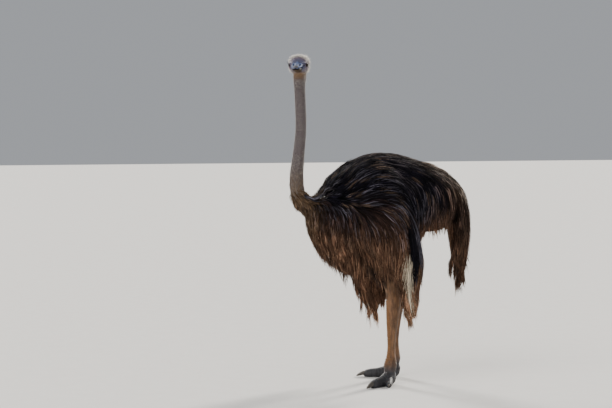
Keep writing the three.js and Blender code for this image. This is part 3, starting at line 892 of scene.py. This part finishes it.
def scatter(obj, tries, gap_at, mask):
    """Places spread evenly over the part of a mesh that a mask allows, no two nearer than the gap."""
    obj.data.calc_loop_triangles()
    corners = np.array([t.vertices[:] for t in obj.data.loop_triangles])
    points, normals = points_of(obj), points_of(obj, "normal")
    a, b, c = (points[corners[:, k]] for k in range(3))
    area = np.linalg.norm(np.cross(b - a, c - a), axis=1) * mask((a + b + c) / 3)
    pick = chance.choice(len(corners), tries, p=area / area.sum())
    u, v = chance.random((2, tries, 1))
    u, v = np.where(u + v > 1, 1 - u, u), np.where(u + v > 1, 1 - v, v)
    place = a[pick] + (b - a)[pick] * u + (c - a)[pick] * v
    normal = unit(sum(normals[corners[pick, k]] * w for k, w in enumerate((1 - u - v, u, v))))
    gap = gap_at(place)
    near = KDTree(len(place))
    for i, p in enumerate(place):
        near.insert(p, i)
    near.balance()
    free = np.ones(len(place), bool)
    kept = []
    for i, p in enumerate(place):
        if free[i]:
            kept.append(i)
            for _, j, _ in near.find_range(p, gap[i]):
                free[j] = False
    return place[kept], normal[kept]


# %% [markdown]
# ## How one plume is made
# A plume of an ostrich has no hooks between its barbs, so it falls apart into soft strands. Here it is a
# lock of tapering strands that start together under the surface and end apart. Three corners close a
# strand with the fewest faces.

# %% Strands as arrays
PATCH, PATCH_EDGE = 0.003, 0.0005  # how wide one tuft is on the map, and its margin
RIDGE = 0.24  # how high the middle of a strand stands, as a share of its width
HIGHLIT_SHARE = 0.10  # the share of strands that lie on top and carry a painted highlight


def strands(name, paths, above, widths, tint, patch, finish):
    """Closed strands along paths (strand, step, xyz), with a colour for each step and a place on the map."""
    count, steps = paths.shape[:2]
    along = unit(np.gradient(paths, axis=1) + 1e-7)
    across = unit(np.cross(along, above))
    half = widths[:, :-1, None] / 2
    rise = np.cross(across, along)[:, :-1] * half * 2 * RIDGE
    spine, across = paths[:, :-1], across[:, :-1] * half
    rings = np.stack([spine + across, spine + rise, spine - across], 2).reshape(count, -1, 3)
    points = np.concatenate([rings, paths[:, -1:]], 1)
    one = np.vstack([[[0, 1, 2]], tube_triangles(steps - 1, 3, 0, False)])
    triangles = (one[None] + np.arange(count)[:, None, None] * points.shape[1]).reshape(-1, 3)
    made = mesh_of(name, points.reshape(-1, 3), triangles, finish)
    colours = np.concatenate([np.repeat(tint[:, :-1], 3, axis=1), tint[:, -1:]], 1)
    store(made, "tint", colours.reshape(-1, 3))
    step = np.concatenate([np.repeat(np.arange(steps - 1), 3), [steps - 1]]) / (steps - 1)
    corner = np.concatenate([np.tile([-1, 0, 1], steps - 1), [0]])
    number = np.broadcast_to(np.arange(count)[:, None] * 7.31, points.shape[:2])
    grain = np.stack([np.broadcast_to(corner * 1.5, number.shape), number, number * 0 + step * 5], -1)
    store(made, "grain", grain.reshape(-1, 3), "FLOAT_VECTOR")
    flat = patch[:, None] + np.stack([corner * 0.0004, (step - 0.5) * PATCH], -1)[None]
    flat = flat.reshape(-1, 2)[triangles.ravel()].astype(np.float32)
    made.data.uv_layers.new(name="OFBake").data.foreach_set("uv", flat.ravel())
    return made


def unwrapped(place):
    """Places on a map of the skin: the body rolled out below, the neck and head rolled out above."""
    x, y, z = place.T
    body = np.stack([np.arctan2(x, z - 0.92) / (2 * math.pi) + 0.5, (y + 0.56) / 1.16 * 0.58], -1)
    spine = np.where(z > 1.66, -0.4556, -0.452)
    neck = np.stack([np.arctan2(x, y - spine) / (2 * math.pi) + 0.5, 0.6 + (z - 0.93) / 0.93 * 0.39], -1)
    return np.where(((y < -0.33) & (z > 1.0))[:, None], neck, body) * 0.99 + 0.005


def locks(start, depth, spread, width, each, colours, lines, faces, steps=5, stray=1, contrast=1, raised=0):
    """Strands for many tufts: their paths, facings, widths, colours and places on the map."""
    colour, highlight = (values[:, None, None] for values in colours)
    depth, spread, width = (values[:, None, None] for values in (depth, spread, width))
    raised, contrast = (np.broadcast_to(value, len(start))[:, None, None] for value in (raised, contrast))
    count = len(start)
    side = unit(np.cross(unit(np.gradient(lines, axis=1) + 1e-7), faces))
    t = np.linspace(0, 1, steps) ** 0.9
    u = np.linspace(-1, 1, each)[None] + chance.normal(0, 0.16, (count, each))
    reach = (1 - 0.22 * np.abs(u) ** 1.6) * chance.uniform(0.72, 1.0, (count, each))
    at = reach[..., None] * t * (lines.shape[1] - 1)
    spine, above, across = between(lines, at), unit(between(faces, at)), between(side, at)
    by_tuft, by_strand = (count, 1, 1), (count, each, 1)
    phase = chance.uniform(0, 2 * math.pi, by_strand)
    wave = np.sin(phase + t * chance.uniform(3, 8, by_strand)) * t * 0.5 * stray
    lean = chance.normal(0, 0.9, by_tuft) * t**2 * stray
    aside = spread * (u[..., None] * (0.15 + 0.85 * soft(t, 0, 0.75)) + wave + lean)
    layer = chance.uniform(-0.011, 0.002, by_tuft) + chance.normal(0, 0.0024, by_strand) * stray
    lift = np.minimum(chance.gamma(1.2, 0.0026, by_strand), 0.011) * t**3 * stray
    # some strands lie on top and carry a painted highlight
    highlit = chance.random(by_strand) < HIGHLIT_SHARE
    height = (layer + raised) * soft(t, 0, 0.4) + lift - depth * fade(t, -0.1, 0.62)
    height = height + 0.0035 * highlit * soft(t, 0.1, 0.5)
    paths = spine + across * aside[..., None] + above * height[..., None]
    swell = 0.35 + 0.9 * soft(t, 0, 0.4) - 0.95 * soft(t, 0.45, 1.05)
    widths = width * swell * chance.uniform(0.6, 1.35, by_strand) * (1 + 0.1 * highlit)
    above = unit(above + across * chance.normal(0, 0.5, (count, each, 1, 1)))
    tone = chance.lognormal(-0.1, 0.45, by_tuft) * chance.lognormal(-0.05, 0.32, by_strand)
    tone = tone**contrast * (0.5 + 0.7 * soft(t, 0.1, 0.9))
    # strands with a painted highlight take the lighter colour
    tint = np.where(highlit[..., None], highlight, colour) * tone[..., None]
    centre = unwrapped(start)[:, None] + np.stack([u.clip(-1, 1) * (PATCH / 2 - PATCH_EDGE), u * 0], -1)
    flat = [values.reshape(count * each, *values.shape[2:]) for values in (paths, above, widths, tint)]
    return *flat, centre.reshape(-1, 2)


# %% [markdown]
# ## The plumage
# The tufts are scattered so that none crowds another, small and short at the foot of the neck, long on
# the wings and the tail. Each follows the lie of the plumes, and the lowest hang free in a ragged fringe.

# %% Finish the plumes
plume = Finish("loose plumes", Specular_IOR_Level=0.1)
barbs = plume.speckle(2.6, 3, plume.stored("grain", "Vector"))  # fine streaks along each strand
streaky = (plume.speckle(14, 4) + 0.5) * (barbs.band(0.3, 0.7) * 1.5 + 0.3)
paint = plume.shade(plume.tint(), streaky)
plume.surface(paint, barbs, (0.3, 0.55), barbs, 0.8, 0.0016)

# %% Root the plumes
thighs = merged_copy("thighs", ["thigh_left", "thigh_right"])
thigh_tree = tree_of(thighs)
bpy.data.objects.remove(thighs)


def on_thigh(place):
    return np.array([thigh_tree.find_nearest(Vector(p), 0.012)[0] is not None for p in place])


def feathered(place):
    """All but the neck above its foot and the bare part of the thighs, which starts lower in front."""
    x, y, z = place.T
    front = fade(y - 0.118 * (x < 0), -0.05, -0.01)
    bare_thigh = on_thigh(place) & (z < 0.70 - 0.09 * front)
    return ~bare_thigh & (z < 1.30) & ~((y < -0.40) & (z > 1.075))


def plume_size(place):
    """1 for the longest plumes, and less towards the neck and the breast."""
    _, y, z = place.T
    size = 0.28 + 0.72 * soft(y, -0.44, -0.12)
    size = size - 0.18 * soft(z, 1.1, 1.25) * fade(y, 0.1, 0.3)
    return size * (1 - 0.35 * fade(z, 0.45, 0.62))


def plume_gap(place):
    return 0.0064 + 0.0066 * plume_size(place)


EACH, LONGEST, SPREAD, STRAND = 8, 0.235, 0.011, 0.0038
ROOT_DEPTH, SHORTEST_HANG, LONGEST_HANG = 0.034, 0.006, 0.07
start, normal = scatter(outer, 60000, plume_gap, feathered)
x, y, z = start.T
many = len(start)
thigh = on_thigh(start) & (z < 0.72)
size = plume_size(start) * chance.uniform(0.75, 1.15, many) * np.where(thigh, 0.62, 1)
inward = [outer_tree.ray_cast(Vector(p - n * 0.003), Vector(-n))[3] or 0.1 for p, n in zip(start, normal)]
depth = np.minimum(ROOT_DEPTH * np.sqrt(size), 0.42 * np.array(inward))
skirt = soft(y, -0.30, -0.16) * fade(y, 0.04, 0.10) * fade(z, 0.72, 0.84)  # before the thighs
under_rump = soft(y, 0.20, 0.26) * fade(z, 0.86, 0.98)
hang = chance.gamma(1.6, 0.016 + 0.034 * skirt + 0.014 * under_rump, many)
hang = SHORTEST_HANG + np.minimum(hang, LONGEST_HANG + 0.09 * skirt) * soft(y, -0.42, -0.33)
lines, faces, long = follow(start, normal, LONGEST * size, hang)
full = (long / (LONGEST * size)).clip(0.2, 1)  # how much of its length a plume kept before its free end
behind_leg = soft(y - 0.07 * (x < 0), 0.04, 0.07)
low_wing = fade(z, 0.54, 0.68) * behind_leg * 0.85 + fade(z, 0.40, 0.48) * (x < 0) * 0.5
white = (chance.random(many) < low_wing) & (np.abs(x) > 0.1) & ~thigh & (y < 0.3)
colour = blend(blend(plume_colour(start), TAN * 2.0, white), UMBER, thigh)
colour = blend(colour, PALE, 0.45 * (chance.random(many) < 0.10))  # a few faded plumes
print("tufts:", many, "strands:", many * EACH)

# %% Grow the plumes
depth = np.where(thigh, 0.006, depth * full)
nape = soft(y, -0.40, -0.33) * fade(y, -0.25, -0.18) * soft(z, 1.02, 1.07)
layers = np.arange(many) * 0.618 % 1  # plumes stand up in layers behind the neck
# the second colour is for the strands with a painted highlight
made = locks(
    start, depth, SPREAD * size * full, STRAND * np.sqrt(size * full), EACH,
    (colour, blend(highlight_colour(start), CREAM, white)), lines, faces,
    contrast=1 - 0.5 * white, raised=0.010 * thigh + 0.018 * nape * layers,
)  # fmt: skip
x, y = np.repeat(start, EACH, axis=0).T[:2]
PARTS = {"breast": ["neck_lower"], "shoulder": [], "wing": [], "flank": [], "rump": ["tail"]}
for side, name in SIDES:
    mine = x * side >= 0
    edges = np.quantile(y[mine], np.linspace(0, 1, len(PARTS) + 1))
    edges[0], edges[-1] = -9, 9
    for (part, also), low, high in zip(PARTS.items(), edges, edges[1:]):
        chosen = mine & (y > low) & (y <= high)
        plumes = strands(f"plumes_{part}_{name}", *[values[chosen] for values in made], plume)
        piece(plumes, "plumage", "wing_" + name, "trunk", *also)

# %% [markdown]
# ## The curtain of the wing
# The longest plumes of the folded wing hang behind it like a curtain, down to under the belly, and white
# ones hang from below the wing. They lie outside all the others, so each kind is a row of its own, of
# extra long locks, and so is the collar of plumes at the foot of the neck.

# %% Hang the curtains
ROWS = [  # name, nodes, locks, strands in each, their width, row's start and end, fall, lift, spread, colours: dark, and lighter for painted highlights
    ("curtain", "wing_", 40, 12, 0.0038, (0.6, 0.045, 1.095), (0.6, 0.108, 0.965), 0.56, 0.015, 0.011,
     BLUE_BLACK * 0.8, SILVER_HIGHLIGHT * 1.6),
    ("collar", "neck_lower", 50, 4, 0.0038, (0.12, -0.455, 1.06), (0.10, -0.290, 1.085), 0.17, 0.013, 0.003,
     BLUE_BLACK, SILVER_HIGHLIGHT * 1.4),
    ("white_plumes", "wing_", 14, 11, 0.0030, (0.6, 0.118, 0.805), (0.6, 0.150, 0.820), 0.45, 0.017, 0.011,
     CREAM * 0.9, CREAM * 1.7),
]  # fmt: skip
CURTAIN_STEPS = 14
for side, name in SIDES:
    for title, node, count, each, wide, first, last, fall, lift, spread, dark, light in ROWS:
        share = np.clip((np.arange(count) + chance.uniform(-0.5, 0.5, count)) / count, 0, 1)
        root = blend(np.array(first), np.array(last), share)
        if title == "white_plumes":
            root += chance.uniform(0, 1, (count, 1)) * [0, 0, -0.08] + [0, 0.03 * (side < 0), 0.02]
        start, normal = nearest(root * [side, 1, 1])
        long = fall * (1 - 0.2 * share) * chance.uniform(0.75, 1.1, count)
        lines, faces, _ = follow(start, normal, long, chance.uniform(0.02, 0.07, count), CURTAIN_STEPS)
        lifts = lift * chance.uniform(0.2, 1.0, count)
        lines = lines + faces * (lifts[:, None] * np.linspace(0, 1, CURTAIN_STEPS) ** 0.5)[..., None]
        # lighter locks are painted highlights, most likely near the row's start
        colour = either(dark, light, 0.8 - 1.1 * share)
        sizes = [np.full(count, value) for value in (0.02, spread, wide)]
        # strands with a painted highlight are 1.4 times lighter
        made = locks(start, *sizes, each, (colour, colour * 1.4), lines, faces, 10, 0.9, 0.8)
        covers = node + name if node == "wing_" else node
        piece(strands(f"{title}_{name}", *made, plume), "plumage", covers)

# %% [markdown]
# ## Down on the neck and head
# The neck has only sparse hair-like down, brown at its foot and pale above, and bristles on the crown.
# The hairs point down the neck and back over the head, and are shortest near the bill and the lids. They
# are single closed strands that stand off the skin, so the light from behind makes them glow.

# %% Finish the down
wool = Finish("pale down", Sheen_Weight=0.4, Sheen_Roughness=0.4)
faint = wool.speckle(2.0, 3, wool.stored("grain", "Vector"))
wool.feed(Base_Color=wool.shade(wool.tint(), faint * 0.6 + 0.7), Roughness=faint * 0.3 + 0.45)
HEAD_START = 1.668  # the height where the neck's down meets the head's


def lid_distance(place):
    """How far out past the lids' opening a place is, for the nearer eye."""
    spot = in_head(place)
    left, right = (around_eye(spot, side)[2] for side in (1, -1))
    return np.where(np.abs(spot[:, 1]) > 20, np.where(spot[:, 1] > 0, left, right), 9)


def downy(place):
    """The neck and the head, but not the lids, nor the skin that the bill covers."""
    _, y, z = place.T
    on_bill = (in_head(place)[:, 0] > 66) & (z > 1.66)
    return (y < -0.33) & (z > 1.03) & ~on_bill & ~((z > 1.67) & (lid_distance(place) < 1.25))


def hairs(name, start, normal, length, width, outward, tint, nodes, wild):
    """A coat of single hairs that rise by the share outward and bend back along the lie of the down."""
    length, width, outward = length[:, None, None], width[:, None], outward[:, None, None]
    back = -HEAD_AXES[0] * 0.8 + [0, 0, -0.15]
    way = blend(np.array([0.0, 0.0, -1.0]), back, soft(start[:, 2], 1.66, 1.70))
    way = way + chance.normal(0, wild, start.shape)
    way = unit(way - (way * normal).sum(1, keepdims=True) * normal)[:, None]
    t = np.linspace(0, 1, 3)[None, :, None]
    normal = normal[:, None]
    bend = way * t * (1 - 0.55 * outward) + normal * outward * (t - 0.35 * t**2) * 1.3
    lines = start[:, None] - normal * 0.0012 + length * bend
    above = np.broadcast_to(normal, lines.shape)
    widths, colours = width * (1 - 0.55 * t[..., 0]), tint[:, None] * (0.8 + 0.35 * t)
    piece(strands(name, lines, above, widths, colours, unwrapped(start), wool), "down", *nodes)


# %% Grow the neck's down
def neck_gap(place):
    return 0.0021 - 0.0007 * soft(place[:, 2], 1.58, HEAD_START)


start, normal = scatter(skin, 34000, neck_gap, lambda p: downy(p) & (p[:, 2] < HEAD_START))
many = len(start)
high = soft(start[:, 2], 1.08, 1.30)
length = (0.021 - 0.0085 * high) * chance.uniform(0.5, 1.25, many)
width = (0.0023 - 0.00183 * high) * chance.uniform(0.7, 1.3, many)
outward = 0.14 + 0.70 * high * chance.random(many)
pale = either(DOWN_GREY, DOWN_WHITE, 0.10 + 0.42 * high)
brown = either(OCHRE * 1.3, DOWN_BROWN, np.full(many, 0.45))
tint = blend(brown, pale, np.clip(high + chance.normal(0, 0.2, many), 0, 1))
hairs("neck_down", start, normal, length, width, outward, tint, NECKS, 0.25)


# %% Grow the head's down
def head_gap(place):
    return np.full(len(place), 0.0013)


start, normal = scatter(skin, 30000, head_gap, lambda p: downy(p) & (p[:, 2] > HEAD_START))
many = len(start)
to_bill, aside, up = in_head(start).T
crown = soft(up, 8, 34) * fade(to_bill, 30, 58)
short = np.maximum(soft(to_bill, 28, 60), fade(lid_distance(start), 1.3, 2.4))
cheek = fade(to_bill, 4, 22) * soft(np.abs(aside), 18, 30) * soft(up, -46, -30)
fluff = np.maximum(crown, cheek)
length = (0.0085 + 0.0075 * crown + 0.0100 * cheek) * (1 - 0.68 * short) * chance.uniform(0.55, 1.3, many)
bristle = chance.random(many) < 0.05 * crown
length = np.where(bristle, chance.uniform(0.017, 0.027, many), length)
outward = 0.30 + 0.50 * fluff * chance.random(many) + 0.12 * (1 - short)
width = np.where(bristle, 0.0007, 0.0005) * (1 - 0.25 * short)
tint = either(DOWN_GREY, DOWN_WHITE, 0.45 + 0.5 * fluff)
throat = soft(to_bill, 0, 26) * fade(up, -44, -34) * fade(np.abs(aside), 18, 27)
tint = blend(blend(tint, THROAT * 1.1, throat * 0.85), DOWN_GREY * 0.6, short * (up > -30) * 0.7)
hairs("head_down", start, normal, length, width, outward, tint, ["head"], 0.35)

# %% [markdown]
# ## Lashes
# An ostrich's lashes are stiff little feathers, longest on the upper lid. They are strands again, set
# along the rim of the opening and bent up.

# %% Set the lashes
lash = Finish("lash", Roughness=0.45)
lash.feed(Base_Color=lash.mix(lash.speckle(300, 2), (0.012, 0.010, 0.009), (0.05, 0.04, 0.035)))
PAST_RIM = 1.03  # the lashes' roots, where the opening's rim is 1
t = np.linspace(0, 1, 5)[:, None]
lines, above = [], []
for side in (1, -1):
    gaze, fore, rise = eye_axes(side)
    for around in np.radians([*np.linspace(8, 172, 30), 215, 240, 265, 290, 315]):
        upper = math.sin(around) > 0
        flat = math.cos(around) * OPENING[0] * PAST_RIM
        up = math.sin(around) * OPENING[1 if upper else 2] * PAST_RIM
        way = unit(gaze + math.tan(flat) * fore + math.tan(up) * rise)
        long = (11 if upper else 5) + chance.uniform(-2, 2)
        bend = unit(way * 0.9 + rise * (0.75 if upper else -0.5) + fore * math.cos(around) * 0.4)
        root = eye_at(side) + way * (EYE_RADIUS + 0.3)
        lines.append(root + (way * (t - 0.4 * t**2) + bend * (0.25 * t + 0.6 * t**2)) * long)
        above.append(np.tile(rise, (5, 1)))
lines, above = from_head(lines), np.array(above) @ HEAD_AXES
widths = np.full(lines.shape[:2], 0.0011) * np.linspace(1, 0.4, 5)
lashes = strands("lashes", lines, above, widths, np.full(lines.shape, 0.02), unwrapped(lines[:, 0]), lash)
piece(lashes, "down", "head")

# %% [markdown]
# ## Scutes on the legs
# The front of the shank and the tops of the toes carry a ladder of overlapping horny plates, called
# scutes. They follow a line and only change in size, so Geometry Nodes set them: points along the line,
# one domed plate on each, turned to the line and scaled by the width that is stored on it.

# %% Build the scute nodes
plate_horn = Finish("scutes", Specular_IOR_Level=0.2)
ridges = plate_horn.speckle(300, 2)
dusty = plate_horn.speckle(60, 4) * 0.9 + ridges * 0.6 + 0.4
paint = plate_horn.shade(plate_horn.tint(), dusty)
plate_horn.surface(paint, ridges, (0.3, 0.45), ridges, 0.3, 0.0006)
ladder = Recipe("ladder of scutes", "Length", "Thickness")


def on_point(name, kind="FLOAT_VECTOR"):
    return ladder.node("GeometryNodeInputNamedAttribute", {"data_type": kind}, {"Name": name})


def aligned(axis, vector, rotation=None, **settings):
    inputs = {"Vector": vector} | ({"Rotation": rotation} if rotation else {})
    return ladder.node("FunctionNodeAlignRotationToVector", {"axis": axis, **settings}, inputs)


facing_out = aligned("Z", on_point("facing"))
size = {"X": on_point("broad", "FLOAT"), "Y": ladder.given("Length"), "Z": ladder.given("Thickness")}
inputs = {
    "Points": ladder.given("Geometry"),
    "Instance": ladder.node("GeometryNodeMeshUVSphere", None, {"Segments": 14, "Rings": 8, "Radius": 1.0}),
    "Rotation": aligned("Y", on_point("along"), facing_out, pivot_axis="Z"),
    "Scale": ladder.node("ShaderNodeCombineXYZ", None, size),
}
ladder.end(ladder.node("GeometryNodeInstanceOnPoints", None, inputs), plate_horn)

# %% Lay the scutes
skin_tree = tree_of(skin)
LEG_X, LEG_Y = 0.130, {"left": 0.0394, "right": 0.1574}
TOES_OUT = {"left": math.radians(34), "right": math.radians(17)}
SMALL_TOE_OUT = math.radians(33)
FOOT_JOINT_Y = -0.016
SHANK_PLATES, SHANK_LOW, SHANK_HIGH = 30, 0.105, 0.455
SHANK_HEIGHTS, SHANK_BROAD = [0.1, 0.15, 0.2, 0.3, 0.4, 0.46], [0.022, 0.019, 0.0165, 0.0165, 0.019, 0.014]
BIG_TOE, SMALL_TOE = (0.140, 0.021), (0.094, 0.0135)  # reach from the foot's joint, and half width
TOE_START, TOE_PLATE, RAY_START = 0.022, 0.009, 0.2


def scutes(name, lines, length, thickness, *nodes):
    """A ladder of plates on rows of (place, facing, along, half width)."""
    places, facings, alongs, widths = (np.concatenate(column) for column in zip(*lines))
    made = placed(name, bpy.data.meshes.new(name))
    made.data.from_pydata(places.tolist(), [], [])
    store(made, "facing", facings, "FLOAT_VECTOR")
    store(made, "along", alongs, "FLOAT_VECTOR")
    store(made, "broad", widths)
    ladder.shape(made, Length=length, Thickness=thickness)
    made.data.shade_smooth()
    store(made, "tint", skin_colour(points_of(made)))
    piece(made, "skin", *nodes)


def line_on_skin(froms, way, broad, sunk):
    """Places a little under where rays from points meet the skin, with the widths of the plates there."""
    hits = [skin_tree.ray_cast(Vector(p), Vector(way)) for p in froms]
    good = [hit[0] is not None for hit in hits]
    places, facings = (np.array([tuple(hit[k]) for hit in hits if hit[0]]) for k in (0, 1))
    return places - facings * sunk, facings, unit(np.gradient(places, axis=0)), broad[good]


shank_lines, toe_lines = [], []
for side, name in SIDES:
    leg = np.array([side * LEG_X, LEG_Y[name], 0])
    heights = np.linspace(SHANK_LOW, SHANK_HIGH, SHANK_PLATES)
    froms = leg + [0, -RAY_START, 0] + heights[:, None] * [0, 0, 1]
    broad = np.interp(heights, SHANK_HEIGHTS, SHANK_BROAD)
    shank_lines.append(line_on_skin(froms, (0, 1, 0), broad, 0.0107))
    for turn, (reach, wide) in ((0, BIG_TOE), (SMALL_TOE_OUT, SMALL_TOE)):
        turn += TOES_OUT[name]
        out = np.array([side * math.sin(turn), -math.cos(turn), 0])
        steps = np.linspace(TOE_START, reach, int(reach / TOE_PLATE))
        froms = leg + [0, FOOT_JOINT_Y, RAY_START] + out * steps[:, None]
        toe_lines.append(line_on_skin(froms, (0, 0, -1), wide * (1 - 0.25 * steps / reach), 0.0088))
scutes("shank_scutes", shank_lines, 0.0142, 0.012, "shank_left", "shank_right")
scutes("toe_scutes", toe_lines, 0.0098, 0.010, "foot_left", "foot_right")

# %% Clear the helper away and finish
bpy.data.objects.remove(outer)
